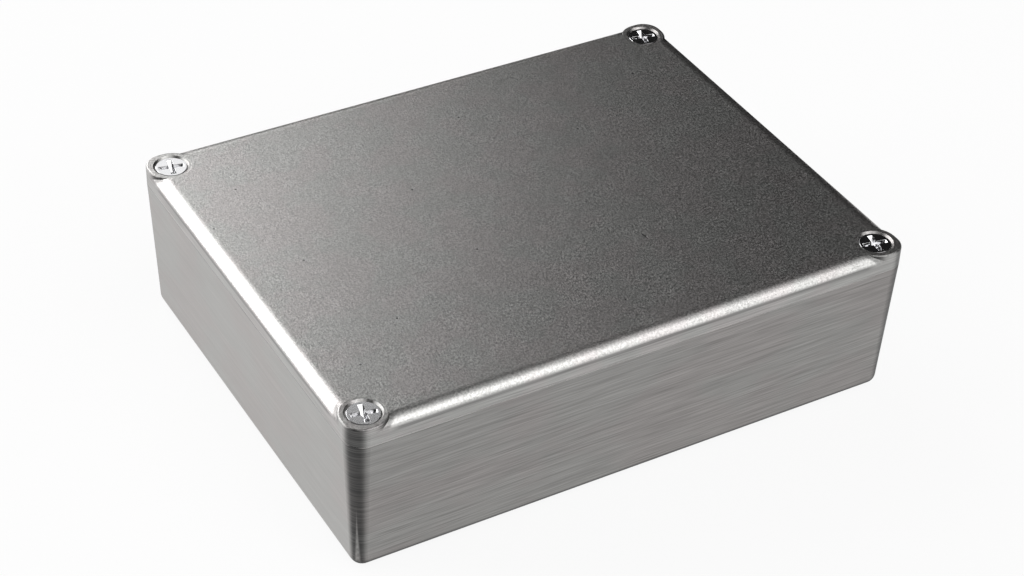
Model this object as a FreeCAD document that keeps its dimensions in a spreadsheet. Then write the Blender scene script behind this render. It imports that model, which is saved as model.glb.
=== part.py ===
"""A die cast aluminium box, in millimetres, made of six pieces:
the base, the lid and four countersunk cover screws.

The origin is the centre of the box's footprint, on the surface it rests on.
X runs along the long sides, Y along the short sides and Z up. The front is -Y.
"""
import FreeCAD, Part
import os
import Sketcher

# Driving sizes
# Each row is a name, its value and what it measures.

SIZES = (
    ("case_length", 119.5, "outside length at the seam and above"),
    ("case_width", 94.0, "outside width at the seam and above"),
    ("seam_height", 30.0, "height of the base casting"),
    ("lid_depth", 4.0, "height of the lid above the seam"),
    ("corner_round", 3.7, "plan radius of the upright corners at the seam"),
    ("draft_angle", 2.5, "draft of the base walls in degrees, inside and out"),
    ("wall_thickness", 2.0, "base wall at the rim"),
    ("floor_thickness", 2.2, "base floor"),
    ("foot_round", 2.25, "round of the outside edge around the foot"),
    ("seam_bevel", 0.1, "bevel of both castings' outside edges along the seam"),
    ("floor_bevel", 0.8, "bevel of the inside edge around the floor"),
    ("pillar_radius", 4.0, "from a screw axis to the faces of its pillar, at the rim"),
    ("pillar_blend", 1.2, "round between a pillar and the walls"),
    ("screw_inset", 4.7, "from the outside faces to a screw axis"),
    ("roll_width", 2.7, "width of the lid's rolled edge, in plan"),
    ("roll_depth", 1.75, "drop of the lid's rolled edge"),
    ("roll_nose", 1.3, "small radius where the roll turns down into the side"),
    ("pad_round", 0.35, "round of the top edge of the corner pads"),
    ("plate_thickness", 2.0, "flat part of the lid"),
    ("lip_depth", 1.8, "how far the lid's lip reaches into the base"),
    ("lip_thickness", 1.2, "wall of the lip"),
    ("lip_clearance", 0.25, "gap between the lip and the base walls"),
    ("screw_diameter", 3.5, "outside of the screw's thread"),
    ("screw_length", 12.7, "whole screw, from the head's face to the tip"),
    ("head_diameter", 6.2, "screw head"),
    ("head_land", 0.15, "short upright rim of the screw head"),
    ("sink_angle", 90.0, "whole angle of the head and the countersink, in degrees"),
    ("sink_margin", 0.5, "how much wider than the head the countersink opens, all round"),
    ("seat_gap", 0.1, "upright gap between the head and its countersink"),
    ("tip_bevel", 0.5, "bevel at the tip of the screw"),
    ("hole_clearance", 0.3, "gap all round the screw in the lid"),
    ("thread_clearance", 0.08, "gap all round the screw in the pillar"),
    ("bore_depth", 13.0, "screw hole, from the rim down into the pillar"),
    ("cross_length", 5.0, "cross recess, from tip to tip"),
    ("cross_width", 1.0, "width of one wing of the cross recess"),
    ("cross_depth", 1.9, "depth of the cross recess"),
    ("cross_slope", 1.8, "how far a wing's end slopes in towards the bottom"),
    ("heart_radius", 1.0, "round middle of the cross recess, at the face"),
    ("heart_foot", 0.4, "round middle of the cross recess, at its bottom"),
    ("cross_turn", -10.5, "turn of every cross about its own axis, in degrees"),
)

# Cutting profiles run past the faces they cut by this much.
CUT_MARGIN = 3.0

# Expressions that several pieces share.
HALF_LENGTH = "sizes.case_length / 2"
HALF_WIDTH = "sizes.case_width / 2"
CASE_HEIGHT = "(sizes.seam_height + sizes.lid_depth)"
AXIS_X = "(sizes.case_length / 2 - sizes.screw_inset)"
AXIS_Y = "(sizes.case_width / 2 - sizes.screw_inset)"
FOOT_CORNER = "(sizes.corner_round - sizes.seam_height * tan(sizes.draft_angle))"
NOSE = "min(sizes.roll_nose; 0.75 * sizes.roll_depth)"
HEAD_DROP = "(sizes.head_diameter - sizes.screw_diameter) / (2 * tan(sizes.sink_angle / 2))"
HEAD_SINK = "(sizes.sink_margin / tan(sizes.sink_angle / 2) - sizes.head_land - sizes.seat_gap)"

# Where each screw stands: its name and the signs of its X and Y.
SCREW_PLACES = (
    ("cover_screw_front_left", -1, -1),
    ("cover_screw_front_right", 1, -1),
    ("cover_screw_rear_left", -1, 1),
    ("cover_screw_rear_right", 1, 1),
)

document = FreeCAD.newDocument("die_cast_box")
EDGE_TOLERANCE = 1e-4


# Helpers

def add_sizes():
    """Put the driving sizes in a sheet, one row each, with the name as alias."""
    sheet = document.addObject("Spreadsheet::Sheet", "sizes")
    for row, (name, value, meaning) in enumerate(SIZES, start=1):
        sheet.set(f"A{row}", name)
        sheet.set(f"B{row}", str(value))
        sheet.set(f"C{row}", meaning)
        sheet.setAlias(f"B{row}", name)
    document.recompute()
    return sheet


def add_body(label):
    body = document.addObject("PartDesign::Body", label)
    body.Label = label
    return body


def add_feature(body, kind, name, bound=None, **settings):
    """Add a feature to a body, with plain settings and bound ones."""
    feature = body.newObject(f"PartDesign::{kind}", name)
    for key, setting in settings.items():
        setattr(feature, key, setting)
    for key, expression in (bound or {}).items():
        feature.setExpression(key, expression)
    document.recompute()
    return feature


def origin_plane(body, role):
    return next(plane for plane in body.Origin.OriginFeatures if plane.Role == role)


def add_sketch(body, name, role="XY_Plane", height=None):
    """Add an empty sketch on one of the body's own planes, raised to a height."""
    sketch = body.newObject("Sketcher::SketchObject", name)
    sketch.AttachmentSupport = [(origin_plane(body, role), "")]
    sketch.MapMode = "FlatFace"
    if height:
        sketch.setExpression("AttachmentOffset.Base.z", height)
    document.recompute()
    return sketch


def vector(x, y):
    return FreeCAD.Vector(x, y, 0)


def bind(sketch, kind, *target, size):
    """Add one dimension to a sketch and bind it to an expression."""
    value = sketch.evalExpression(size)
    value = getattr(value, "Value", value)
    number = sketch.addConstraint(Sketcher.Constraint(kind, *target, value))
    sketch.setExpression(f"Constraints[{number}]", size)


def place(sketch, geometry, point, x=None, y=None):
    """Dimension a point from the sketch's origin; a size that is left out stays free."""
    if x:
        bind(sketch, "DistanceX", -1, 1, geometry, point, size=x)
    if y:
        bind(sketch, "DistanceY", -1, 1, geometry, point, size=y)


def number_of(sketch, expression):
    value = sketch.evalExpression(expression)
    return getattr(value, "Value", value)


def draw_polygon(sketch, corners):
    """Draw a closed outline through corners whose X and Y are expressions."""
    points = [vector(number_of(sketch, x), number_of(sketch, y)) for x, y in corners]
    count = len(points)
    first = sketch.GeometryCount
    for index, start in enumerate(points):
        sketch.addGeometry(Part.LineSegment(start, points[(index + 1) % count]), False)
    for index in range(count):
        following = first + (index + 1) % count
        sketch.addConstraint(Sketcher.Constraint("Coincident", first + index, 2, following, 1))
    for index, (x, y) in enumerate(corners):
        place(sketch, first + index, 1, x=x, y=y)


def draw_rounded_rectangle(sketch, half_x, half_y, radius):
    """Draw a rectangle with round corners about the sketch's origin."""
    reach_x = number_of(sketch, half_x)
    reach_y = number_of(sketch, half_y)
    bend = number_of(sketch, radius)
    turn = FreeCAD.Units.Quantity("90 deg").getValueAs("rad").Value
    up = FreeCAD.Vector(0, 0, 1)
    corners = ((1, -1, 3), (1, 1, 0), (-1, 1, 1), (-1, -1, 2))
    straights = (
        (vector(-reach_x + bend, -reach_y), vector(reach_x - bend, -reach_y)),
        (vector(reach_x, -reach_y + bend), vector(reach_x, reach_y - bend)),
        (vector(reach_x - bend, reach_y), vector(-reach_x + bend, reach_y)),
        (vector(-reach_x, reach_y - bend), vector(-reach_x, -reach_y + bend)),
    )
    for (start, end), (side_x, side_y, quarter) in zip(straights, corners):
        centre = vector(side_x * (reach_x - bend), side_y * (reach_y - bend))
        circle = Part.Circle(centre, up, bend)
        sketch.addGeometry(Part.LineSegment(start, end), False)
        sketch.addGeometry(Part.ArcOfCircle(circle, quarter * turn, (quarter + 1) * turn), False)
    lines = (0, 2, 4, 6)
    arcs = (1, 3, 5, 7)
    for line, arc, following in zip(lines, arcs, lines[1:] + lines[:1]):
        sketch.addConstraint(Sketcher.Constraint("Tangent", line, 2, arc, 1))
        sketch.addConstraint(Sketcher.Constraint("Tangent", arc, 2, following, 1))
    for arc in arcs[1:]:
        sketch.addConstraint(Sketcher.Constraint("Equal", arcs[0], arc))
    bind(sketch, "Radius", arcs[0], size=radius)
    for line, kind in zip(lines, ("Horizontal", "Vertical", "Horizontal", "Vertical")):
        sketch.addConstraint(Sketcher.Constraint(kind, line))
    place(sketch, lines[0], 1, y=f"-({half_y})")
    place(sketch, lines[1], 1, x=half_x)
    place(sketch, lines[2], 1, y=half_y)
    place(sketch, lines[3], 1, x=f"-({half_x})")


def draw_inside(sketch, gap, pillar):
    """Draw the outline of the inside: four walls that step in round four corner pillars.

    The gap is how far the walls lie inside the case's outside faces. A pillar has a
    quarter round towards the middle of the case and a flat side towards each wall.
    """
    half_x = f"({HALF_LENGTH} - {gap})"
    half_y = f"({HALF_WIDTH} - {gap})"
    reach_x = number_of(sketch, half_x)
    reach_y = number_of(sketch, half_y)
    axis_x = number_of(sketch, AXIS_X)
    axis_y = number_of(sketch, AXIS_Y)
    radius = number_of(sketch, pillar)
    corners = ((1, -1), (1, 1), (-1, 1), (-1, -1))
    steps = []
    for side_x, side_y in corners:
        step = [
            vector(side_x * (axis_x - radius), side_y * reach_y),
            vector(side_x * (axis_x - radius), side_y * axis_y),
            vector(side_x * axis_x, side_y * (axis_y - radius)),
            vector(side_x * reach_x, side_y * (axis_y - radius)),
        ]
        steps.append(step if side_x * side_y < 0 else step[::-1])

    # Each corner is a flat side, a quarter round, a flat side and the wall that follows.
    for index, (side_x, side_y) in enumerate(corners):
        first, second, third, fourth = steps[index]
        following = steps[(index + 1) % 4][0]
        inward = vector(-side_x, -side_y).normalize() * radius
        middle = vector(side_x * axis_x, side_y * axis_y) + inward
        sketch.addGeometry(Part.LineSegment(first, second), False)
        sketch.addGeometry(Part.Arc(second, middle, third), False)
        sketch.addGeometry(Part.LineSegment(third, fourth), False)
        sketch.addGeometry(Part.LineSegment(fourth, following), False)
    for index, (side_x, side_y) in enumerate(corners):
        entry = 4 * index
        arc = entry + 1
        leaving = entry + 2
        wall = entry + 3
        next_entry = (entry + 4) % 16
        # The quarter round runs anticlockwise, so it starts at the side that leaves it.
        sketch.addConstraint(Sketcher.Constraint("Tangent", entry, 2, arc, 2))
        sketch.addConstraint(Sketcher.Constraint("Tangent", arc, 1, leaving, 1))
        sketch.addConstraint(Sketcher.Constraint("Coincident", leaving, 2, wall, 1))
        sketch.addConstraint(Sketcher.Constraint("Coincident", wall, 2, next_entry, 1))
        across = side_x * side_y > 0
        sketch.addConstraint(Sketcher.Constraint("Horizontal" if across else "Vertical", entry))
        sketch.addConstraint(Sketcher.Constraint("Vertical" if across else "Horizontal", leaving))
        sketch.addConstraint(Sketcher.Constraint("Horizontal" if across else "Vertical", wall))
        place(sketch, arc, 3, x=f"{side_x} * {AXIS_X}", y=f"{side_y} * {AXIS_Y}")
        bind(sketch, "Radius", arc, size=pillar)
        if across:
            place(sketch, wall, 1, y=f"{side_y} * {half_y}")
        else:
            place(sketch, wall, 1, x=f"{side_x} * {half_x}")


def draw_screw_circles(sketch, radius):
    """Draw one circle on each of the four screw axes."""
    size = number_of(sketch, radius)
    for name, side_x, side_y in SCREW_PLACES:
        x = f"{side_x} * {AXIS_X}"
        y = f"{side_y} * {AXIS_Y}"
        centre = vector(number_of(sketch, x), number_of(sketch, y))
        circle = sketch.addGeometry(Part.Circle(centre, FreeCAD.Vector(0, 0, 1), size), False)
        place(sketch, circle, 3, x=x, y=y)
        bind(sketch, "Radius", circle, size=radius)


def edges_where(feature, test):
    """Name the feature's edges that pass a test."""
    return [f"Edge{number}" for number, edge in enumerate(feature.Shape.Edges, start=1) if test(edge)]


def flat_at(height):
    """Test that an edge or a face lies level at a height."""
    def test(item):
        box = item.BoundBox
        return abs(box.ZMin - height) < EDGE_TOLERANCE and abs(box.ZMax - height) < EDGE_TOLERANCE
    return test


def upright_at_walls(low, high, half_x, half_y):
    """Test that an edge runs between two heights and ends on one of the four walls there."""
    def test(edge):
        box = edge.BoundBox
        if abs(box.ZMin - low) > EDGE_TOLERANCE or abs(box.ZMax - high) > EDGE_TOLERANCE:
            return False
        end = max(edge.Vertexes, key=lambda vertex: vertex.Z)
        off_walls = min(abs(abs(end.X) - half_x), abs(abs(end.Y) - half_y))
        return off_walls < EDGE_TOLERANCE
    return test


def outline_edges(feature, height):
    """Name the edges around the outside of the feature's level face at a height."""
    level = [face for face in feature.Shape.Faces if flat_at(height)(face)]
    widest = max(level, key=lambda face: face.BoundBox.DiagonalLength)
    return edges_where(feature, lambda edge: any(edge.isSame(each) for each in widest.OuterWire.Edges))


def check_removed(before, after):
    """Stop if a cut took nothing away."""
    if not after.Shape.Volume < before.Shape.Volume:
        raise RuntimeError(f"{after.Name} removed nothing")


def add_fillet(body, name, feature, edges, radius):
    return add_feature(body, "Fillet", name, {"Radius": radius}, Base=(feature, edges))


# Base

def make_base():
    """Cast the base: a drafted box, hollowed around its pillars, with a screw hole in each."""
    body = add_body("base")
    outline = add_sketch(body, "base_outline", height="sizes.seam_height")
    draw_rounded_rectangle(outline, HALF_LENGTH, HALF_WIDTH, "sizes.corner_round")
    block = add_feature(
        body, "Pad", "base_block",
        {"Length": "sizes.seam_height", "TaperAngle": "-sizes.draft_angle"},
        Profile=outline, Reversed=True,
    )

    seam = number_of(outline, "sizes.seam_height")
    floor = number_of(outline, "sizes.floor_thickness")
    inside = add_sketch(body, "base_inside", height="sizes.seam_height")
    draw_inside(inside, "sizes.wall_thickness", "sizes.pillar_radius")
    hollow = add_feature(
        body, "Pocket", "base_hollow",
        {"Length": "sizes.seam_height - sizes.floor_thickness"}, Profile=inside,
    )
    check_removed(block, hollow)

    upright = []
    rim = ""
    for number, face in enumerate(hollow.Shape.Faces, start=1):
        low = face.BoundBox.ZMin
        high = face.BoundBox.ZMax
        if abs(low - floor) < EDGE_TOLERANCE and high - low > EDGE_TOLERANCE:
            upright.append(f"Face{number}")
        if abs(low - seam) < EDGE_TOLERANCE:
            rim = f"Face{number}"
    drafted = add_feature(
        body, "Draft", "inside_draft", {"Angle": "sizes.draft_angle"},
        Base=(hollow, upright), NeutralPlane=(hollow, [rim]),
    )

    wall_x = number_of(outline, f"{HALF_LENGTH} - sizes.wall_thickness")
    wall_y = number_of(outline, f"{HALF_WIDTH} - sizes.wall_thickness")
    blended = add_fillet(
        body, "pillar_blends", drafted,
        edges_where(drafted, upright_at_walls(floor, seam, wall_x, wall_y)), "sizes.pillar_blend",
    )
    eased = add_feature(
        body, "Chamfer", "inside_bevel", {"Size": "sizes.floor_bevel"},
        Base=(blended, edges_where(blended, flat_at(floor))),
    )
    footed = add_fillet(
        body, "foot_round", eased, edges_where(eased, flat_at(0)),
        f"min(sizes.foot_round; 0.95 * {FOOT_CORNER})",
    )
    bevelled = add_feature(
        body, "Chamfer", "rim_bevel", {"Size": "sizes.seam_bevel"},
        Base=(footed, outline_edges(footed, seam)),
    )

    centres = add_sketch(body, "screw_centres", height="sizes.seam_height")
    draw_screw_circles(centres, "sizes.screw_diameter / 2 + sizes.thread_clearance")
    bores = add_feature(
        body, "Hole", "screw_bores",
        {"Diameter": "sizes.screw_diameter + 2 * sizes.thread_clearance", "Depth": "sizes.bore_depth"},
        Profile=centres, DepthType="Dimension", DrillPoint="Angled",
    )
    check_removed(bevelled, bores)
    return body


# Lid

def draw_roll(sketch, reach, top):
    """Draw what the rolled edge leaves out: the space outside two arcs that join smoothly.

    The broad arc starts flat on the lid's face and the small one ends upright on its side.
    The reach is the outside face and the top is the lid's face, as expressions.
    """
    start_x = f"{reach} - sizes.roll_width"
    foot_y = f"{top} - sizes.roll_depth"
    nose_x = f"{reach} - {NOSE}"
    start = vector(number_of(sketch, start_x), number_of(sketch, top))
    foot = vector(number_of(sketch, reach), number_of(sketch, foot_y))
    small = number_of(sketch, NOSE)
    width = foot.x - start.x
    depth = start.y - foot.y
    broad = ((width - small) ** 2 + depth ** 2 - small ** 2) / (2 * (depth - small))
    broad_centre = vector(start.x, start.y - broad)
    small_centre = vector(foot.x - small, foot.y)
    towards = (small_centre - broad_centre).normalize()
    join = broad_centre + towards * broad
    small_middle = small_centre + (towards + vector(1, 0)).normalize() * small
    broad_middle = broad_centre + (towards + vector(0, 1)).normalize() * broad
    nose = sketch.addGeometry(Part.Arc(foot, small_middle, join), False)
    sweep = sketch.addGeometry(Part.Arc(join, broad_middle, start), False)
    outside = foot + vector(CUT_MARGIN, 0)
    above = vector(outside.x, start.y + CUT_MARGIN)
    over = vector(start.x, above.y)
    ends = (foot, outside, above, over, start)
    lines = [sketch.addGeometry(Part.LineSegment(*pair), False) for pair in zip(ends, ends[1:])]
    sketch.addConstraint(Sketcher.Constraint("Tangent", nose, 2, sweep, 1))
    sketch.addConstraint(Sketcher.Constraint("Coincident", nose, 1, lines[0], 1))
    for line, following in zip(lines, lines[1:]):
        sketch.addConstraint(Sketcher.Constraint("Coincident", line, 2, following, 1))
    sketch.addConstraint(Sketcher.Constraint("Coincident", lines[3], 2, sweep, 2))
    sketch.addConstraint(Sketcher.Constraint("Vertical", sweep, 3, sweep, 2))
    for line, kind in zip(lines, ("Horizontal", "Vertical", "Horizontal", "Vertical")):
        sketch.addConstraint(Sketcher.Constraint(kind, line))
    place(sketch, nose, 1, x=reach, y=foot_y)
    place(sketch, nose, 3, x=nose_x, y=foot_y)
    place(sketch, sweep, 2, x=start_x, y=top)
    sketch.addConstraint(Sketcher.Constraint("DistanceX", lines[0], 1, lines[0], 2, CUT_MARGIN))
    sketch.addConstraint(Sketcher.Constraint("DistanceY", lines[1], 1, lines[1], 2, above.y - foot.y))
    sketch.setExpression(
        f"Constraints[{sketch.ConstraintCount - 1}]", f"sizes.roll_depth + {CUT_MARGIN}"
    )


def draw_pad_section(sketch, axis):
    """Draw half of a corner pad beside its upright axis, with its top edge rounded."""
    radius = "sizes.screw_inset"
    bend = "sizes.pad_round"
    low = number_of(sketch, "sizes.seam_height")
    high = number_of(sketch, CASE_HEIGHT)
    middle_x = number_of(sketch, axis)
    reach = middle_x + number_of(sketch, radius)
    ease = number_of(sketch, bend)
    half_way = ease * (1 - 0.5 ** 0.5)
    corners = (
        vector(middle_x, high),
        vector(middle_x, low),
        vector(reach, low),
        vector(reach, high - ease),
    )
    flat_end = vector(reach - ease, high)
    for pair in zip(corners, corners[1:]):
        sketch.addGeometry(Part.LineSegment(*pair), False)
    arc_middle = vector(reach - half_way, high - half_way)
    arc = sketch.addGeometry(Part.Arc(corners[3], arc_middle, flat_end), False)
    face = sketch.addGeometry(Part.LineSegment(flat_end, corners[0]), False)
    centre_line = sketch.addGeometry(Part.LineSegment(corners[1], corners[0]), True)
    sketch.addConstraint(Sketcher.Constraint("Coincident", 0, 2, 1, 1))
    sketch.addConstraint(Sketcher.Constraint("Coincident", 1, 2, 2, 1))
    sketch.addConstraint(Sketcher.Constraint("Tangent", 2, 2, arc, 1))
    sketch.addConstraint(Sketcher.Constraint("Tangent", arc, 2, face, 1))
    sketch.addConstraint(Sketcher.Constraint("Coincident", face, 2, 0, 1))
    sketch.addConstraint(Sketcher.Constraint("Coincident", centre_line, 1, 0, 2))
    sketch.addConstraint(Sketcher.Constraint("Coincident", centre_line, 2, 0, 1))
    for line, kind in ((1, "Horizontal"), (2, "Vertical"), (face, "Horizontal")):
        sketch.addConstraint(Sketcher.Constraint(kind, line))
    place(sketch, 0, 1, x=axis, y=CASE_HEIGHT)
    place(sketch, 0, 2, x=axis, y="sizes.seam_height")
    bind(sketch, "DistanceX", 1, 1, 1, 2, size=radius)
    bind(sketch, "Radius", arc, size=bend)


def make_lid():
    """Cast the lid: a slab with rolled edges that stop at round corner pads, hollow below."""
    body = add_body("lid")
    outline = add_sketch(body, "lid_outline", height="sizes.seam_height")
    draw_rounded_rectangle(outline, HALF_LENGTH, HALF_WIDTH, "sizes.corner_round")
    slab = add_feature(body, "Pad", "lid_slab", {"Length": "sizes.lid_depth"}, Profile=outline)
    top = number_of(outline, CASE_HEIGHT)
    eased_slab = add_fillet(
        body, "slab_round", slab, edges_where(slab, flat_at(top)), "sizes.pad_round",
    )

    # The rolls run between the screw axes, first along the long sides and then the short ones.
    latest = eased_slab
    for name, role, reach, run, mirror in (
        ("long", "YZ_Plane", HALF_WIDTH, AXIS_X, "XZ_Plane"),
        ("short", "XZ_Plane", HALF_LENGTH, AXIS_Y, "YZ_Plane"),
    ):
        section = add_sketch(body, f"{name}_roll_section", role)
        draw_roll(section, reach, CASE_HEIGHT)
        roll = add_feature(
            body, "Pocket", f"{name}_roll", {"Length": f"2 * {run}"},
            Profile=section, Midplane=True,
        )
        check_removed(latest, roll)
        latest = add_feature(
            body, "Mirrored", f"{name}_roll_opposite",
            Originals=[roll], MirrorPlane=(origin_plane(body, mirror), [""]),
        )
        body.Tip = latest
        document.recompute()
        check_removed(roll, latest)

    for name, side_x, side_y in SCREW_PLACES:
        section = add_sketch(
            body, f"pad_section_{name}", "XZ_Plane", height=f"{-side_y} * {AXIS_Y}"
        )
        draw_pad_section(section, f"{side_x} * {AXIS_X}")
        latest = add_feature(
            body, "Revolution", f"corner_pad_{name}",
            Profile=section, ReferenceAxis=(section, ["Axis0"]),
        )

    lip_foot = "sizes.seam_height - sizes.lip_depth"
    outer_gap = "(sizes.wall_thickness + sizes.lip_clearance)"
    inner_gap = "(sizes.wall_thickness + sizes.lip_clearance + sizes.lip_thickness)"
    lip_outline = add_sketch(body, "lip_outline", height=lip_foot)
    draw_inside(lip_outline, outer_gap, "(sizes.pillar_radius + sizes.lip_clearance)")
    lip = add_feature(body, "Pad", "lip", {"Length": "sizes.lip_depth"}, Profile=lip_outline)
    low = number_of(outline, lip_foot)
    seam = number_of(outline, "sizes.seam_height")
    corners = upright_at_walls(
        low, seam,
        number_of(outline, f"{HALF_LENGTH} - {outer_gap}"),
        number_of(outline, f"{HALF_WIDTH} - {outer_gap}"),
    )
    eased = add_fillet(
        body, "lip_corners", lip, edges_where(lip, corners),
        "sizes.pillar_blend - sizes.lip_clearance",
    )

    hollow_outline = add_sketch(body, "lid_inside", height=lip_foot)
    draw_inside(
        hollow_outline, inner_gap,
        "(sizes.pillar_radius + sizes.lip_clearance + sizes.lip_thickness)",
    )
    hollow = add_feature(
        body, "Pocket", "lid_hollow", {"Length": f"{CASE_HEIGHT} - sizes.plate_thickness - ({lip_foot})"},
        Profile=hollow_outline, Reversed=True,
    )
    check_removed(eased, hollow)
    ceiling = number_of(outline, f"{CASE_HEIGHT} - sizes.plate_thickness")
    corners = upright_at_walls(
        low, ceiling,
        number_of(outline, f"{HALF_LENGTH} - {inner_gap}"),
        number_of(outline, f"{HALF_WIDTH} - {inner_gap}"),
    )
    blended = add_fillet(
        body, "lid_inside_blends", hollow, edges_where(hollow, corners),
        f"min(sizes.pillar_blend; 0.8 * (sizes.screw_inset - {inner_gap}))",
    )
    bevelled = add_feature(
        body, "Chamfer", "lid_bevel", {"Size": "sizes.seam_bevel"},
        Base=(blended, outline_edges(blended, seam)),
    )

    centres = add_sketch(body, "hole_centres", height=CASE_HEIGHT)
    draw_screw_circles(centres, "sizes.screw_diameter / 2 + sizes.hole_clearance")
    holes = add_feature(
        body, "Hole", "screw_holes",
        {
            "Diameter": "sizes.screw_diameter + 2 * sizes.hole_clearance",
            "HoleCutDiameter": "sizes.head_diameter + 2 * sizes.sink_margin",
            "HoleCutCountersinkAngle": "sizes.sink_angle",
        },
        Profile=centres, DepthType="ThroughAll", HoleCutType="Countersink",
    )
    check_removed(bevelled, holes)
    return body


# Screws

def make_screw(name, side_x, side_y):
    """Make one countersunk screw about its own axis and stand it in its corner."""
    body = add_body(name)
    section = add_sketch(body, f"{name}_section", "XZ_Plane")
    head = "sizes.head_diameter / 2"
    shank = "sizes.screw_diameter / 2"
    draw_polygon(section, (
        ("0", "0"),
        (head, "0"),
        (head, "-sizes.head_land"),
        (shank, f"-(sizes.head_land + {HEAD_DROP})"),
        (shank, "-(sizes.screw_length - sizes.tip_bevel)"),
        (f"{shank} - sizes.tip_bevel", "-sizes.screw_length"),
        ("0", "-sizes.screw_length"),
    ))
    turned = add_feature(
        body, "Revolution", f"{name}_turned", Profile=section, ReferenceAxis=(section, ["V_Axis"]),
    )

    wing = add_sketch(body, f"{name}_wing", "XZ_Plane")
    half = "sizes.cross_length / 2"
    draw_polygon(wing, (
        (f"-{half}", "0"),
        (f"-({half} - sizes.cross_slope)", "-sizes.cross_depth"),
        (f"{half} - sizes.cross_slope", "-sizes.cross_depth"),
        (half, "0"),
    ))
    slot = add_feature(
        body, "Pocket", f"{name}_slot", {"Length": "sizes.cross_width"}, Profile=wing, Midplane=True,
    )
    check_removed(turned, slot)
    cross = add_feature(
        body, "PolarPattern", f"{name}_cross", Originals=[slot],
        Axis=(section, ["V_Axis"]), Angle=90.0, Occurrences=2,
    )
    body.Tip = cross
    document.recompute()
    check_removed(slot, cross)

    heart_section = add_sketch(body, f"{name}_heart_section", "XZ_Plane")
    draw_polygon(heart_section, (
        ("0", "0"),
        ("sizes.heart_radius", "0"),
        ("sizes.heart_foot", "-sizes.cross_depth"),
        ("0", "-sizes.cross_depth"),
    ))
    heart = add_feature(
        body, "Groove", f"{name}_heart",
        Profile=heart_section, ReferenceAxis=(heart_section, ["V_Axis"]),
    )
    check_removed(cross, heart)

    body.setExpression("Placement.Base.x", f"{side_x} * {AXIS_X}")
    body.setExpression("Placement.Base.y", f"{side_y} * {AXIS_Y}")
    body.setExpression("Placement.Base.z", f"{CASE_HEIGHT} - {HEAD_SINK}")
    body.setExpression("Placement.Rotation.Angle", "sizes.cross_turn")
    return body


# Build and export

def check_objects(bodies):
    """Stop on a failed object or a broken solid."""
    for item in document.Objects:
        if "Invalid" in item.State or "Error" in item.State:
            raise RuntimeError(f"{item.Name} failed: {item.State}")
    for body in bodies:
        if body.Shape.isNull() or not body.Shape.isValid():
            raise RuntimeError(f"{body.Label} has no valid shape")
        if len(body.Shape.Solids) != 1:
            raise RuntimeError(f"{body.Label} has {len(body.Shape.Solids)} solids")


def main():
    add_sizes()
    bodies = [make_base(), make_lid()]
    bodies += [make_screw(*screw_place) for screw_place in SCREW_PLACES]
    document.recompute()
    check_objects(bodies)
    os.makedirs("parts", exist_ok=True)
    for body in bodies:
        body.Shape.exportStep(f"parts/{body.Label}.step")


main()
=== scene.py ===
"""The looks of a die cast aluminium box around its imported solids.

Everything is in metres in the row frame, and the materials work in millimetres of that frame.
X runs along the long sides, Y towards the rear and Z up.
"""
import math

import bmesh
import bpy
from mathutils import Matrix, Vector


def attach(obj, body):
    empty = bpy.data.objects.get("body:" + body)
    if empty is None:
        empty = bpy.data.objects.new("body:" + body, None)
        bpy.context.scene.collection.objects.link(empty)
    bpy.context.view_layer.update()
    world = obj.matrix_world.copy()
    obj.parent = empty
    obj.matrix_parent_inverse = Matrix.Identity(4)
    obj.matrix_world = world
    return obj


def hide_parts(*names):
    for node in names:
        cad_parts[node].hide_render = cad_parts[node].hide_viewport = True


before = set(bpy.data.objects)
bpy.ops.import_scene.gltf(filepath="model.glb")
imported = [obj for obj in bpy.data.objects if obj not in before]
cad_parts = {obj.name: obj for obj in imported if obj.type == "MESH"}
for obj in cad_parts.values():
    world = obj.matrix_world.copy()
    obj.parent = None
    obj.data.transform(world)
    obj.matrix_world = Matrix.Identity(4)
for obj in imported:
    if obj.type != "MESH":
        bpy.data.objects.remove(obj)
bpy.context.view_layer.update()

MM = 0.001

# Sizes of the solids, in millimetres
HALF_LENGTH = 59.75
HALF_WIDTH = 47.0
SEAM_HEIGHT = 30.0
SCREW_X = 55.05
SCREW_Y = 42.3
SINK_RADIUS = 3.6
ROLL_WIDTH = 2.7
CROSS_TURN = -10.5

# Where a wall counts as an end wall, by the size of its direction along X
END_FACING = (0.6, 1.0)
# Where a face counts as level, by the size of its direction along Z
LEVEL_FACING = (0.05, 0.5)
# Where a corner's painted dark reflection is full, by the product of its directions along X and Y
CORNER_FULL = 0.46
CORNER_REFLECTION_TONE = 0.03

# The base is brushed this far in from the seam's outline, and as cast further in
OUTER_SKIN = 1.5
SKIN_EASE = 0.3
# Dark and light brush lines, in a warm and a cool tint
WARM_LINES = ((0.22, 0.21, 0.205, 1), (0.49, 0.469, 0.458, 1))
COOL_LINES = ((0.214, 0.211, 0.205, 1), (0.477, 0.471, 0.458, 1))
# How strong the lines are, and the painted light on the metal, on the long walls and on the end
# walls
LINE_CONTRASTS = (1.0, 0.3)
WALL_PAINTED_LIGHT = (0.84, 1.21)
# How far below the seam the painted shade along the base's rim starts and is full
RIM_STARTS = 0.2
RIM_FULL = 0.1
RIM_SHADE_SHARE = 0.45
# How strong the painted shade on the downward foot of the long walls is
FOOT_SHADE_SHARE = 0.9
BASE_ROUGHNESS = (0.36, 0.42)
BASE_BUMP = 0.02

# The pebbled skin of the lid: features per millimetre, and how strongly each shows
GRAIN_SCALE = 2.7
FOLD_SCALE = 1.5
PATCH_SCALE = 0.2
SPECK_SCALE = 2.3
CLOUD_SCALE = 0.11
PIT_SCALE = 0.036
PIT_SIZES = (0.006, 0.0105)
RIDGE_HEIGHT = 0.22
LINE_HEIGHT = 0.5
SPECK_GAIN = 0.42
RIDGE_GAIN = 0.06
STREAK_GAIN = 1.3
LID_TINTS = ((0.49, 0.487, 0.475, 1), (0.506, 0.486, 0.478, 1))
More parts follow.
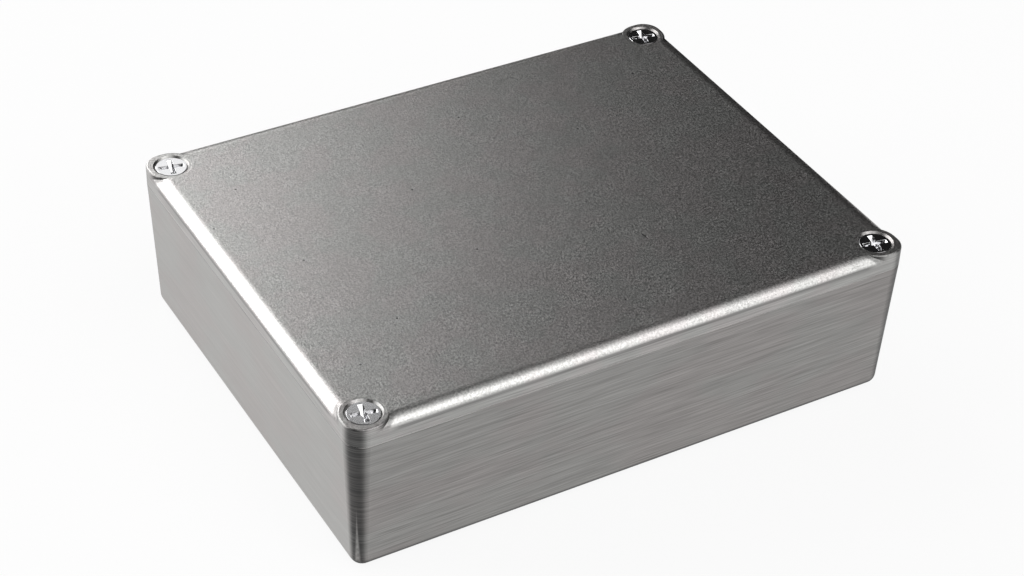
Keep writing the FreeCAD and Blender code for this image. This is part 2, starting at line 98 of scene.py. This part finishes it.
# How much painted shade darkens the lid's long sides and end sides against its top
SIDE_PAINTED_SHADES = (-0.22, -0.1)
LID_ROUGHNESS = 0.345
SPECK_ROUGHNESS = 0.08
LID_BUMP = 0.043

# The rolled edges: how much painted highlight brightens them, how far out this starts on the end
# edges, and the distance from a screw's axis at which it starts
ROLL_HIGHLIGHT_GAIN = 0.36
ROLL_END_SHIFT = 0.9
ROLL_REACH = (5.0, 5.8)
# Painted shade in the crease under a rolled edge, by height, and on the edge of a corner pad, by
# distance from the screw's axis
CREASE_HEIGHTS = (31.75, 32.1, 32.35, 32.8)
CREASE_REACH = (5.4, 7.0)
PAD_EDGE_REACH = (3.8, 4.2, 5.2, 5.6)
PAINTED_SHADE_SHARE = 0.4
PAINTED_SHADE_TONE = 0.05
# How strong the painted shade in the pits and the nick is
MARK_SHADE_SHARE = 0.75

# The nick in the lid's top
NICK_X = 16.4
NICK_Y = -20.4
NICK_HALF_WIDTH = 0.22
NICK_HALF_LENGTH = 1.3
NICK_BEND = 0.8

# Screw steel
STEEL_TINTS = ((0.72, 0.72, 0.73, 1), (0.8, 0.8, 0.81, 1))
STEEL_ROUGHNESS = (0.1, 0.15)
STEEL_BUMP = 0.0003

# A screw by its own axis: heights in the row frame and radii, in millimetres
SCREW_FACE = 33.75
SCREW_LAND = 33.6
SHANK_TOP = 32.25
SCREW_TIP = 21.05
HEAD_RADIUS = 3.1
HEAD_EASE = 0.06
THREAD_RADIUS = 1.75
TIP_RADIUS = 1.25
THREAD_PITCH = 0.6
THREAD_DEPTH = 0.36
THREAD_RUNOUT = 0.9
# One pitch of the thread, as shares of the pitch and of the thread's depth
THREAD_FORM = ((0.0, 0.0), (0.14, 0.0), (0.5, 1.0), (0.64, 1.0))
COLUMNS = 64
SAME_PLACE = 1e-4

# The cross recess: half length and half width of a wing, and the reach of the flanks
# between the wings, each at the head's face and at the bottom
RECESS_DEPTH = 1.9
WING_LENGTHS = (2.5, 0.7)
WING_WIDTHS = (0.5, 0.3)
FLANK_REACH = (0.84, 0.33)
RECESS_EASE = 0.04
# How far the block that cuts the recess stands above the head's face
CUT_OVER = 0.5
# Angles in degrees: flatter edges are dissolved, sharper ones eased, and sharper ones shaded sharp
FLAT_ANGLE = 0.5
EASED_ANGLE = 30.0
SHARP_ANGLE = 28.0
FACE_NORMAL = 0.999

# Camera, as solved from the photograph's outlines
CAMERA_PLACE = (-0.198934, -0.331658, 0.308391)
CAMERA_YAW = 30.8683
CAMERA_PITCH = 37.3586
CAMERA_ROLL = 2.3087
CAMERA_LENS = 85.328
SENSOR_WIDTH = 36.0
CLIP_START = 0.01

# How much of the floor near the box is plain white in a picture or a reflection; the rest takes
# light and shadow. Between two distances from the middle, in millimetres, it turns all white
WHITE_SHARE = 0.91
WHITE_EASE = (300.0, 900.0)
# How bright the floor is in a reflection, against how bright it is in a picture
MIRRORED_SHARE = 0.81
FLOOR_PAPER = (0.88, 0.88, 0.88, 1)
FLOOR_REACH = 4.0
FLOOR_DROP = 0.0001
WALL_HEIGHT = 0.7
WHITE = (1, 1, 1, 1)
WORLD_STRENGTH = 0.012
# The black card behind the box: its foot in millimetres, and its height in metres
CARD_FOOT = ((-26, 147), (92, 94), (155, 32))
CARD_HEIGHT = 0.07
CARD_BLACK = (0.01, 0.01, 0.01, 1)
# The lamps: azimuth and elevation in degrees, width and height in metres, and radiance
LAMP_DISTANCE = 1.2
SOFTBOXES = {
    "softbox_left": (-45.0, 26.0, 1.68, 1.17, 1.82),
    "softbox_rear": (-2.5, 26.0, 0.32, 1.17, 3.5),
    "softbox_rear_right": (15.2, 21.0, 0.36, 0.92, 0.87),
    "softbox_rear_high": (27.2, 40.5, 0.17, 0.22, 0.26),
    "softbox_right_high": (85.0, 62.0, 0.52, 0.42, 0.5),
    "softbox_front_high": (140.0, 65.0, 0.48, 0.64, 0.9),
    "softbox_front_right": (115.0, 50.0, 0.41, 0.42, 1.1),
    "softbox_front_low": (145.0, 14.0, 0.90, 0.36, 0.85),
    "softbox_front_mid": (147.0, 32.0, 0.62, 0.44, 0.98),
    "softbox_front": (183.0, 50.0, 1.12, 0.95, 1.25),
}
# The power of an area lamp, by square metre and by radiance
AREA_POWER = 4.0


# Node helpers

class Shader:
    """A material's nodes, with short calls that add one node and join its inputs."""

    def __init__(self, name):
        self.material = bpy.data.materials.new(name)
        self.material.use_nodes = True
        self.tree = self.material.node_tree
        self.tree.nodes.clear()
        self.output = self.tree.nodes.new("ShaderNodeOutputMaterial")

    def add(self, kind, inputs=None, **settings):
        node = self.tree.nodes.new("ShaderNode" + kind)
        for key, setting in settings.items():
            setattr(node, key, setting)
        for key, value in (inputs or {}).items():
            self.feed(node.inputs[key], value)
        return node

    def feed(self, socket, value):
        if isinstance(value, bpy.types.NodeSocket):
            self.tree.links.new(value, socket)
        else:
            socket.default_value = value

    def finish(self, node):
        """Make a node the surface."""
        self.tree.links.new(node.outputs[0], self.output.inputs["Surface"])

    def math(self, operation, *values, clamp=False):
        inputs = dict(enumerate(values))
        return self.add("Math", inputs, operation=operation, use_clamp=clamp).outputs[0]

    def times(self, first, *others):
        """The product of two or more values."""
        for other in others:
            first = self.math("MULTIPLY", first, other)
        return first

    def add_times(self, first, second, base, clamp=False):
        """The product of two values, added to a third."""
        return self.math("MULTIPLY_ADD", first, second, base, clamp=clamp)

    def length(self, x, y):
        """The length of a level vector."""
        squares = [self.math("POWER", part, 2.0) for part in (x, y)]
        return self.math("SQRT", self.math("ADD", *squares))

    def ramp(self, value, low, high, start=0.0, end=1.0):
        """Ease from start to end as a value goes from low to high."""
        inputs = {0: value, 1: low, 2: high, 3: start, 4: end}
        node = self.add("MapRange", inputs, interpolation_type="SMOOTHSTEP")
        return node.outputs[0]

    def window(self, value, rise_starts, rise_ends, fall_starts, fall_ends):
        """One between the rise and the fall, and zero outside them."""
        return self.times(
            self.ramp(value, rise_starts, rise_ends),
            self.ramp(value, fall_starts, fall_ends, 1.0, 0.0),
        )

    def noise(self, place, scale, detail=2.0, rough=0.5, twist=0.0):
        inputs = {
            "Vector": place, "Scale": scale, "Detail": detail,
            "Roughness": rough, "Distortion": twist,
        }
        return self.add("TexNoise", inputs).outputs[0]

    def spots(self, place, scale):
        """The distance from points that are scattered over a level surface."""
        node = self.add("TexVoronoi", {"Vector": place, "Scale": scale}, voronoi_dimensions="2D")
        return node.outputs["Distance"]

    def scale(self, colour, factor):
        """Make a colour lighter or darker by a factor."""
        node = self.add("VectorMath", {0: colour, 3: factor}, operation="SCALE")
        return node.outputs[0]

    def stretch(self, place, x, y, z):
        inputs = {0: place, 1: (x, y, z)}
        return self.add("VectorMath", inputs, operation="MULTIPLY").outputs[0]

    def blend(self, factor, first, second):
        node = self.add("Mix", data_type="RGBA")
        for key, value in ((0, factor), (6, first), (7, second)):
            self.feed(node.inputs[key], value)
        return node.outputs[2]

    def between(self, factor, first, second):
        node = self.add("Mix", data_type="FLOAT")
        for key, value in ((0, factor), (2, first), (3, second)):
            self.feed(node.inputs[key], value)
        return node.outputs[0]

    def darker(self, colour, amount, shade):
        """Blend a colour towards a neutral shade."""
        return self.blend(amount, colour, (shade, shade, shade, 1))

    def bump(self, height, reach):
        """Bump by a height from 0 to 1, whose full reach is in millimetres."""
        return self.add("Bump", {"Height": height, "Distance": reach * MM}).outputs[0]

    def place(self):
        """The position in millimetres, whole and by axis."""
        coordinates = self.add("TexCoord")
        whole = self.stretch(coordinates.outputs["Object"], 1 / MM, 1 / MM, 1 / MM)
        parts = self.add("SeparateXYZ", {0: whole}).outputs
        return whole, parts[0], parts[1], parts[2]

    def facing(self):
        """The surface's own direction, by axis."""
        return self.add("SeparateXYZ", {0: self.add("TexCoord").outputs["Normal"]}).outputs

    def metal(self, colour, roughness, normal):
        inputs = {
            "Base Color": colour, "Metallic": 1.0, "Roughness": roughness, "Normal": normal,
        }
        self.finish(self.add("BsdfPrincipled", inputs))


def give(node_name, material):
    """Put one material in every slot of a CAD node."""
    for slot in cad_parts[node_name].material_slots:
        slot.material = material


# Materials

def brushed(shader, place):
    """Fine level brush lines, as a value about 0.5."""
    fine = shader.noise(shader.stretch(place, 0.09, 0.09, 5.2), 1.0, 2.0, 0.6)
    broad = shader.noise(shader.stretch(place, 0.05, 0.05, 2.1), 1.0, 2.0, 0.5)
    return shader.between(0.35, fine, broad)


def painted_corner_reflection(shader, facing, lines):
    """How much of a rounded upright corner's painted dark reflection shows, broken up by the brush
    lines.
    """
    across = shader.math("ABSOLUTE", shader.times(facing[0], facing[1]))
    painted_band = shader.ramp(across, 0.0, CORNER_FULL)
    return shader.times(painted_band, shader.ramp(lines, 0.35, 0.65, 0.94, 0.8))


def wall_inset(shader, x, y):
    """How far a point lies inside the seam's outline."""
    inset_x = shader.math("SUBTRACT", HALF_LENGTH, shader.math("ABSOLUTE", x))
    inset_y = shader.math("SUBTRACT", HALF_WIDTH, shader.math("ABSOLUTE", y))
    return shader.math("MINIMUM", inset_x, inset_y)


def make_base_material():
    shader = Shader("base_casting_brushed")
    place, x, y, z = shader.place()
    facing = shader.facing()
    side = shader.math("ABSOLUTE", facing[0])
    # The inside and the underside are as cast, and the outer walls are brushed
    inset = wall_inset(shader, x, y)
    as_cast = shader.ramp(inset, OUTER_SKIN, OUTER_SKIN + SKIN_EASE)
    skin = shader.ramp(shader.noise(place, 1.4, 3.0, 0.65), 0.2, 0.8, 0.3, 0.7)
    lines = shader.between(as_cast, brushed(shader, place), skin)
    cloud = shader.noise(shader.stretch(place, 0.05, 0.05, 0.09), 1.0, 3.0, 0.5)
    # The end walls have fainter lines, and painted light makes them brighter than the long ones
    contrast = shader.ramp(side, *END_FACING, *LINE_CONTRASTS)
    level = shader.times(shader.math("SUBTRACT", lines, 0.5), contrast)
    level = shader.add_times(level, 2.0, 0.5, clamp=True)
    warm = shader.blend(level, *WARM_LINES)
    cool = shader.blend(level, *COOL_LINES)
    light = shader.blend(shader.ramp(cloud, 0.42, 0.58), cool, warm)
    light = shader.scale(light, shader.ramp(side, *END_FACING, *WALL_PAINTED_LIGHT))
    # Painted dark reflections on the corners, and painted shade along the foot and the rim
    outside = shader.add_times(as_cast, -0.7, 1.0)
    # Painted dark reflection on the upright corners, fainter inside
    painted_band = shader.times(painted_corner_reflection(shader, facing, lines), outside)
    colour = shader.darker(light, painted_band, CORNER_REFLECTION_TONE)
    # Painted shade on the downward-facing foot of the long walls
    under = shader.times(facing[2], -1.0)
    front = shader.math("ABSOLUTE", facing[1])
    painted_foot_shade = shader.times(shader.ramp(under, 0.1, 0.4), shader.ramp(front, 0.1, 0.5))
    colour = shader.darker(colour, shader.times(painted_foot_shade, FOOT_SHADE_SHARE), 0.02)
    # Painted shade along the rim just below the seam, on the end walls
    painted_rim_shade = shader.ramp(z, SEAM_HEIGHT - RIM_STARTS, SEAM_HEIGHT - RIM_FULL)
    painted_rim_shade = shader.times(painted_rim_shade, shader.ramp(side, 0.3, 0.6))
    colour = shader.darker(colour, shader.times(painted_rim_shade, RIM_SHADE_SHARE), 0.05)
    roughness = shader.ramp(cloud, 0.3, 0.7, *BASE_ROUGHNESS)
    shader.metal(colour, roughness, shader.bump(lines, BASE_BUMP))
    return shader.material


def nick_mark(shader, x, y):
    """How deep the short bent nick is at a point."""
    across = shader.math("DIVIDE", shader.math("SUBTRACT", x, NICK_X), NICK_HALF_WIDTH)
    along = shader.math("DIVIDE", shader.math("SUBTRACT", y, NICK_Y), NICK_HALF_LENGTH)
    bend = shader.times(shader.math("SINE", along), NICK_BEND)
    from_nick = shader.length(shader.math("ADD", across, bend), along)
    return shader.ramp(from_nick, 0.5, 1.1, 0.8, 0.0)


def painted_edge_highlight(shader, x, inset):
    """How much painted highlight brightens a rolled edge above the pebbled top."""
    end_inset = shader.math("SUBTRACT", HALF_LENGTH, shader.math("ABSOLUTE", x))
    end_shift = shader.ramp(end_inset, ROLL_WIDTH, ROLL_WIDTH + 0.8, ROLL_END_SHIFT, 0.0)
    shifted = shader.math("ADD", inset, end_shift)
    return shader.ramp(shifted, ROLL_WIDTH - 0.9, ROLL_WIDTH + 0.3, ROLL_HIGHLIGHT_GAIN, 0.0)


def make_lid_material():
    shader = Shader("lid_casting_pebbled")
    place, x, y, z = shader.place()
    facing = shader.facing()
    inset = wall_inset(shader, x, y)
    # The distance from the nearest screw's axis
    out_x = shader.math("SUBTRACT", shader.math("ABSOLUTE", x), SCREW_X)
    out_y = shader.math("SUBTRACT", shader.math("ABSOLUTE", y), SCREW_Y)
    reach = shader.length(out_x, out_y)
    off_rim = shader.ramp(reach, SINK_RADIUS + 0.2, SINK_RADIUS + 0.6)
    flat = shader.ramp(inset, ROLL_WIDTH - 0.6, ROLL_WIDTH + 0.6)
    top = shader.times(flat, off_rim)
    upward = shader.ramp(facing[2], *LEVEL_FACING)
    level_face = shader.ramp(shader.math("ABSOLUTE", facing[2]), *LEVEL_FACING)
    sides = shader.math("SUBTRACT", 1.0, level_face)
    # The pebbled skin of the casting
    grains = shader.noise(place, GRAIN_SCALE, 3.0, 0.62)
    folds = shader.noise(place, FOLD_SCALE, 2.0, 0.6, 0.5)
    folds = shader.math("ABSOLUTE", shader.math("SUBTRACT", folds, 0.5))
    patches = shader.ramp(shader.noise(place, PATCH_SCALE, 2.0, 0.5), 0.36, 0.68, 0.3, 0.7)
    ridges = shader.times(shader.ramp(folds, 0.0, 0.09, 1.0, 0.0), patches)
    pebbled = shader.add_times(ridges, RIDGE_HEIGHT, grains)
    pebbled = shader.times(pebbled, level_face, shader.ramp(top, 0.0, 1.0, 0.22, 1.0))
    # Small pits all over the top, and the nick that the photograph shows
    pits = shader.ramp(shader.spots(place, PIT_SCALE), *PIT_SIZES, 0.9, 0.0)
    pits = shader.times(pits, top)
    marks = shader.math("MAXIMUM", pits, shader.times(nick_mark(shader, x, y), upward))
    height = shader.math("SUBTRACT", pebbled, marks)
    # The brush lines of the sides
    lines = brushed(shader, place)
    height = shader.add_times(shader.times(lines, sides), LINE_HEIGHT, height)
    # Colour
    tint = shader.ramp(shader.noise(place, CLOUD_SCALE, 3.0, 0.55), 0.42, 0.58)
    colour = shader.blend(tint, *LID_TINTS)
    speck = shader.ramp(shader.noise(place, SPECK_SCALE, 2.0, 0.6), 0.34, 0.66, -0.5, 0.5)
    speck = shader.times(speck, shader.math("ADD", patches, 0.4), level_face)
    streak = shader.times(shader.math("SUBTRACT", lines, 0.5), sides)
    level = shader.add_times(speck, SPECK_GAIN, 1.0)
    level = shader.add_times(shader.times(ridges, top), RIDGE_GAIN, level)
    level = shader.add_times(streak, STREAK_GAIN, level)
    # Painted shade on the lid's sides, more on the long sides than on the end sides
    painted_side_shade = shader.between(shader.math("ABSOLUTE", facing[0]), *SIDE_PAINTED_SHADES)
    level = shader.add_times(sides, painted_side_shade, level)
    # Painted highlight along the rolled edges
    painted_highlight = shader.times(painted_edge_highlight(shader, x, inset), upward, shader.ramp(reach, *ROLL_REACH))
    level = shader.add_times(level, painted_highlight, level)
    colour = shader.scale(colour, level)
    # Painted shade in the crease under the rolled edge and on the soft edge of the corner pads,
    # and painted dark reflections on the corners
    painted_crease_shade = shader.times(shader.window(z, *CREASE_HEIGHTS), shader.ramp(reach, *CREASE_REACH))
    colour = shader.darker(colour, shader.times(painted_crease_shade, PAINTED_SHADE_SHARE), PAINTED_SHADE_TONE)
    sloped = shader.ramp(facing[2], 0.9, 1.0, 1.0, 0.0)
    painted_pad_edge_shade = shader.times(shader.window(reach, *PAD_EDGE_REACH), sloped, upward)
    colour = shader.darker(colour, shader.times(painted_pad_edge_shade, PAINTED_SHADE_SHARE), PAINTED_SHADE_TONE)
    colour = shader.darker(colour, painted_corner_reflection(shader, facing, lines), CORNER_REFLECTION_TONE)
    # Painted shade in the pits and the nick
    colour = shader.darker(colour, shader.times(marks, MARK_SHADE_SHARE), PAINTED_SHADE_TONE)
    roughness = shader.add_times(speck, SPECK_ROUGHNESS, LID_ROUGHNESS)
    shader.metal(colour, roughness, shader.bump(height, LID_BUMP))
    return shader.material


def make_screw_material():
    shader = Shader("screw_steel_bright")
    marks = shader.noise(shader.place()[0], 2.0, 3.0, 0.6)
    colour = shader.blend(marks, *STEEL_TINTS)
    roughness = shader.ramp(marks, 0.35, 0.7, *STEEL_ROUGHNESS)
    shader.metal(colour, roughness, shader.bump(marks, STEEL_BUMP))
    return shader.material


# Screws

def ring(mesh, radius, height):
    """Add one level ring of points."""
    step = 2 * math.pi / COLUMNS
    return [
        mesh.verts.new((radius * math.cos(step * k), radius * math.sin(step * k), height))
        for k in range(COLUMNS)
    ]


def join_rings(mesh, upper, lower):
    for k in range(COLUMNS):
        following = (k + 1) % COLUMNS
        mesh.faces.new((upper[k], lower[k], lower[following], upper[following]))


def thread_point(row, column):
    """Where a point of the thread's grid lies; the rows run down in a helix."""
    share, rise = THREAD_FORM[row % 4]
    drop = THREAD_PITCH * (row // 4 + share + column / COLUMNS - 1)
    height = min(max(SHANK_TOP - drop, SCREW_TIP), SHANK_TOP)
    cut = THREAD_DEPTH * (1 - rise) * min((SHANK_TOP - height) / THREAD_RUNOUT, 1)
    radius = min(THREAD_RADIUS - cut, TIP_RADIUS + height - SCREW_TIP)
    turn = 2 * math.pi * column / COLUMNS
    return radius * math.cos(turn), radius * math.sin(turn), height


def level_ring(mesh, height):
    """The points at a height, in order round the axis."""
    found = [v for v in mesh.verts if abs(v.co.z - height) < SAME_PLACE]
    return sorted(found, key=lambda v: math.atan2(v.co.y, v.co.x) % (2 * math.pi))


def build_screw_blank(mesh):
    """Build a closed screw with a thread, a countersunk head and no recess."""
    rows = 4 * (math.ceil((SHANK_TOP - SCREW_TIP) / THREAD_PITCH) + 2) + 1
    grid = [[mesh.verts.new(thread_point(row, column)) for row in range(rows)]
            for column in range(COLUMNS)]
    for column in range(COLUMNS):
        shift = 4 if column == COLUMNS - 1 else 0
        here = grid[column]
        there = grid[(column + 1) % COLUMNS]
        for row in range(rows - 1 - shift):
            mesh.faces.new((here[row], here[row + 1], there[row + 1 + shift], there[row + shift]))
    bmesh.ops.remove_doubles(mesh, verts=mesh.verts[:], dist=SAME_PLACE)
    bmesh.ops.dissolve_degenerate(mesh, edges=mesh.edges[:], dist=SAME_PLACE)
    loose = [v for v in mesh.verts if not v.link_faces]
    bmesh.ops.delete(mesh, geom=loose, context="VERTS")
    upper = level_ring(mesh, SHANK_TOP)
    tip = level_ring(mesh, SCREW_TIP)
    mesh.faces.new(tip[::-1])
    for radius, height in (
        (HEAD_RADIUS, SCREW_LAND),
        (HEAD_RADIUS, SCREW_FACE - HEAD_EASE),
        (HEAD_RADIUS - 0.3 * HEAD_EASE, SCREW_FACE - 0.3 * HEAD_EASE),
        (HEAD_RADIUS - HEAD_EASE, SCREW_FACE),
    ):
        next_ring = ring(mesh, radius, height)
        join_rings(mesh, next_ring, upper)
        upper = next_ring
    mesh.faces.new(upper)
    bmesh.ops.recalc_face_normals(mesh, faces=mesh.faces[:])


def tapered_block(mesh, face_sides, foot_sides, turn):
    """Add a closed block that narrows from above the head's face down to the recess's bottom."""
    stretch = 1 + CUT_OVER / RECESS_DEPTH
    spin = Matrix.Rotation(math.radians(turn), 3, "Z")
    corners = []
    for height, share in ((SCREW_FACE - RECESS_DEPTH, 0.0), (SCREW_FACE + CUT_OVER, stretch)):
        half_x = foot_sides[0] + (face_sides[0] - foot_sides[0]) * share
        half_y = foot_sides[1] + (face_sides[1] - foot_sides[1]) * share
        for x, y in ((-half_x, -half_y), (half_x, -half_y), (half_x, half_y), (-half_x, half_y)):
            corners.append(mesh.verts.new(spin @ Vector((x, y, height))))
    mesh.faces.new(corners[3::-1])
    mesh.faces.new(corners[4:])
    for k in range(4):
        following = (k + 1) % 4
        mesh.faces.new((corners[k], corners[following], corners[4 + following], corners[4 + k]))


def show(name, data):
    """Put a mesh in the scene as an object."""
    made = bpy.data.objects.new(name, data)
    bpy.context.scene.collection.objects.link(made)
    return made


def object_from(name, mesh):
    """Turn a working mesh into an object."""
    data = bpy.data.meshes.new(name)
    mesh.to_mesh(data)
    mesh.free()
    return show(name, data)


def cut_recess(blank):
    """Take the cross out of the head, and return the finished mesh in millimetres."""
    wing_face = (WING_LENGTHS[0], WING_WIDTHS[0])
    wing_foot = (WING_LENGTHS[1], WING_WIDTHS[1])
    flank_face = (FLANK_REACH[0], FLANK_REACH[0])
    flank_foot = (FLANK_REACH[1], FLANK_REACH[1])
    tools = []
    for face_sides, foot_sides, turn in (
        (wing_face, wing_foot, 0), (wing_face, wing_foot, 90), (flank_face, flank_foot, 45),
    ):
        block = bmesh.new()
        tapered_block(block, face_sides, foot_sides, turn + CROSS_TURN)
        tool = object_from("recess_tool", block)
        tools.append(tool)
        cut = blank.modifiers.new("recess", "BOOLEAN")
        cut.operation = "DIFFERENCE"
        cut.solver = "EXACT"
        cut.object = tool
    graph = bpy.context.evaluated_depsgraph_get()
    finished = bpy.data.meshes.new_from_object(blank.evaluated_get(graph))
    for tool in tools + [blank]:
        bpy.data.objects.remove(tool)
    return finished


def ease_recess(data):
    """Round the recess's edges at the head's face a little, so that they catch light."""
    mesh = bmesh.new()
    mesh.from_mesh(data)
    bmesh.ops.dissolve_limit(
        mesh, angle_limit=math.radians(FLAT_ANGLE), verts=mesh.verts[:], edges=mesh.edges[:],
    )
    level = [
        e for e in mesh.edges
        if all(abs(v.co.z - SCREW_FACE) < SAME_PLACE for v in e.verts)
    ]
    sharp = [
        e for e in level
        if len(e.link_faces) == 2 and e.calc_face_angle() > math.radians(EASED_ANGLE)
        and max(v.co.xy.length for v in e.verts) < HEAD_RADIUS - 2 * HEAD_EASE
    ]
    bmesh.ops.bevel(
        mesh, geom=sharp, offset=RECESS_EASE, segments=2, profile=0.5, affect="EDGES",
        clamp_overlap=True,
    )
    mesh.to_mesh(data)
    mesh.free()


def make_screws():
    """Stand one finished screw in each corner, in place of the plain solid."""
    mesh = bmesh.new()
    build_screw_blank(mesh)
    finished = cut_recess(object_from("screw_blank", mesh))
    ease_recess(finished)
    finished.set_sharp_from_angle(angle=math.radians(SHARP_ANGLE))
    for polygon in finished.polygons:
        polygon.use_smooth = polygon.normal.z < FACE_NORMAL
    material = make_screw_material()
    for node_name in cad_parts:
        if not node_name.startswith("cover_screw"):
            continue
        side_x = 1 if node_name.endswith("right") else -1
        side_y = 1 if "rear" in node_name else -1
        to_corner = Matrix.Translation((side_x * SCREW_X, side_y * SCREW_Y, 0))
        data = finished.copy()
        data.transform(Matrix.Scale(MM, 4) @ to_corner)
        data.materials.clear()
        data.materials.append(material)
        piece = show(node_name + "_threaded", data)
        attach(piece, node_name)
        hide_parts(node_name)


# Studio

def direction(azimuth, elevation):
    """A unit vector; the azimuth runs from +Y towards +X."""
    turn = math.radians(azimuth)
    rise = math.radians(elevation)
    return Vector((
        math.sin(turn) * math.cos(rise),
        math.cos(turn) * math.cos(rise),
        math.sin(rise),
    ))


def add_softbox(name, azimuth, elevation, width, height, radiance):
    """Hang a rectangular lamp that faces the box and shines with a set radiance."""
    lamp = bpy.data.lights.new(name, "AREA")
    lamp.shape = "RECTANGLE"
    lamp.size = width
    lamp.size_y = height
    lamp.energy = AREA_POWER * width * height * radiance
    towards = direction(azimuth, elevation)
    lamp_object = show(name, lamp)
    lamp_object.location = towards * LAMP_DISTANCE
    lamp_object.rotation_euler = towards.to_track_quat("Z", "Y").to_euler()
    lamp_object.visible_camera = False


def make_floor():
    """Lay the floor, and stand it up into a low wall all round."""
    floor_mesh = bpy.data.meshes.new("studio_floor")
    corners = [(-1, -1), (1, -1), (1, 1), (-1, 1)]
    points = [(x * FLOOR_REACH, y * FLOOR_REACH, 0) for x, y in corners]
    points += [(x * FLOOR_REACH, y * FLOOR_REACH, WALL_HEIGHT) for x, y in corners]
    walls = [(k, (k + 1) % 4, (k + 1) % 4 + 4, k + 4) for k in range(4)]
    floor_mesh.from_pydata(points, [], [(0, 1, 2, 3)] + walls)
    floor = show("studio_floor", floor_mesh)
    shader = Shader("floor_white")
    paper = shader.add("BsdfDiffuse", {"Color": FLOOR_PAPER})
    white = shader.add("Emission", {"Color": WHITE, "Strength": 1.0})
    ray = shader.add("LightPath").outputs
    mirrored = shader.math("MAXIMUM", ray["Is Glossy Ray"], ray["Is Transmission Ray"])
    mirrored = shader.times(mirrored, MIRRORED_SHARE)
    seen = shader.math("MAXIMUM", ray["Is Camera Ray"], mirrored)
    away = shader.add("VectorMath", {0: shader.place()[0]}, operation="LENGTH").outputs["Value"]
    share = shader.times(seen, shader.ramp(away, *WHITE_EASE, WHITE_SHARE, 1.0))
    shader.finish(shader.add("MixShader", {0: share, 1: paper.outputs[0], 2: white.outputs[0]}))
    floor_mesh.materials.append(shader.material)
    floor.location.z = -FLOOR_DROP


def make_edge_card():
    """Stand a bent black card behind the box, which gives its far edges their dark line."""
    card_mesh = bpy.data.meshes.new("edge_card")
    points = [(x * MM, y * MM, 0) for x, y in CARD_FOOT]
    points += [(x * MM, y * MM, CARD_HEIGHT) for x, y in CARD_FOOT]
    card_mesh.from_pydata(points, [], [(0, 1, 4, 3), (1, 2, 5, 4)])
    card = show("edge_card", card_mesh)
    shader = Shader("card_black")
    shader.finish(shader.add("BsdfDiffuse", {"Color": CARD_BLACK}))
    card_mesh.materials.append(shader.material)
    card.visible_camera = False
    card.visible_diffuse = False
    card.visible_shadow = False


def make_world():
    world = bpy.data.worlds.new("studio")
    world.use_nodes = True
    background = world.node_tree.nodes["Background"]
    background.inputs["Color"].default_value = WHITE
    background.inputs["Strength"].default_value = WORLD_STRENGTH
    bpy.context.scene.world = world


def make_camera():
    yaw = math.radians(CAMERA_YAW)
    pitch = math.radians(CAMERA_PITCH)
    roll = math.radians(CAMERA_ROLL)
    ahead = Vector((
        math.sin(yaw) * math.cos(pitch), math.cos(yaw) * math.cos(pitch), -math.sin(pitch),
    ))
    right = Vector((math.cos(yaw), -math.sin(yaw), 0))
    upward = right.cross(ahead)
    turned_right = right * math.cos(roll) + upward * math.sin(roll)
    turned_up = upward * math.cos(roll) - right * math.sin(roll)
    view = Matrix((turned_right, turned_up, -ahead)).transposed().to_4x4()
    view.translation = Vector(CAMERA_PLACE)
    camera = bpy.data.cameras.new("camera")
    camera.lens = CAMERA_LENS
    camera.sensor_width = SENSOR_WIDTH
    camera.clip_start = CLIP_START
    camera_object = show("camera", camera)
    camera_object.matrix_world = view
    bpy.context.scene.camera = camera_object


give("base", make_base_material())
give("lid", make_lid_material())
make_screws()
make_floor()
make_edge_card()
make_world()
for softbox_name, softbox_values in SOFTBOXES.items():
    add_softbox(softbox_name, *softbox_values)
make_camera()

bpy.context.scene.view_settings.view_transform = "Standard"
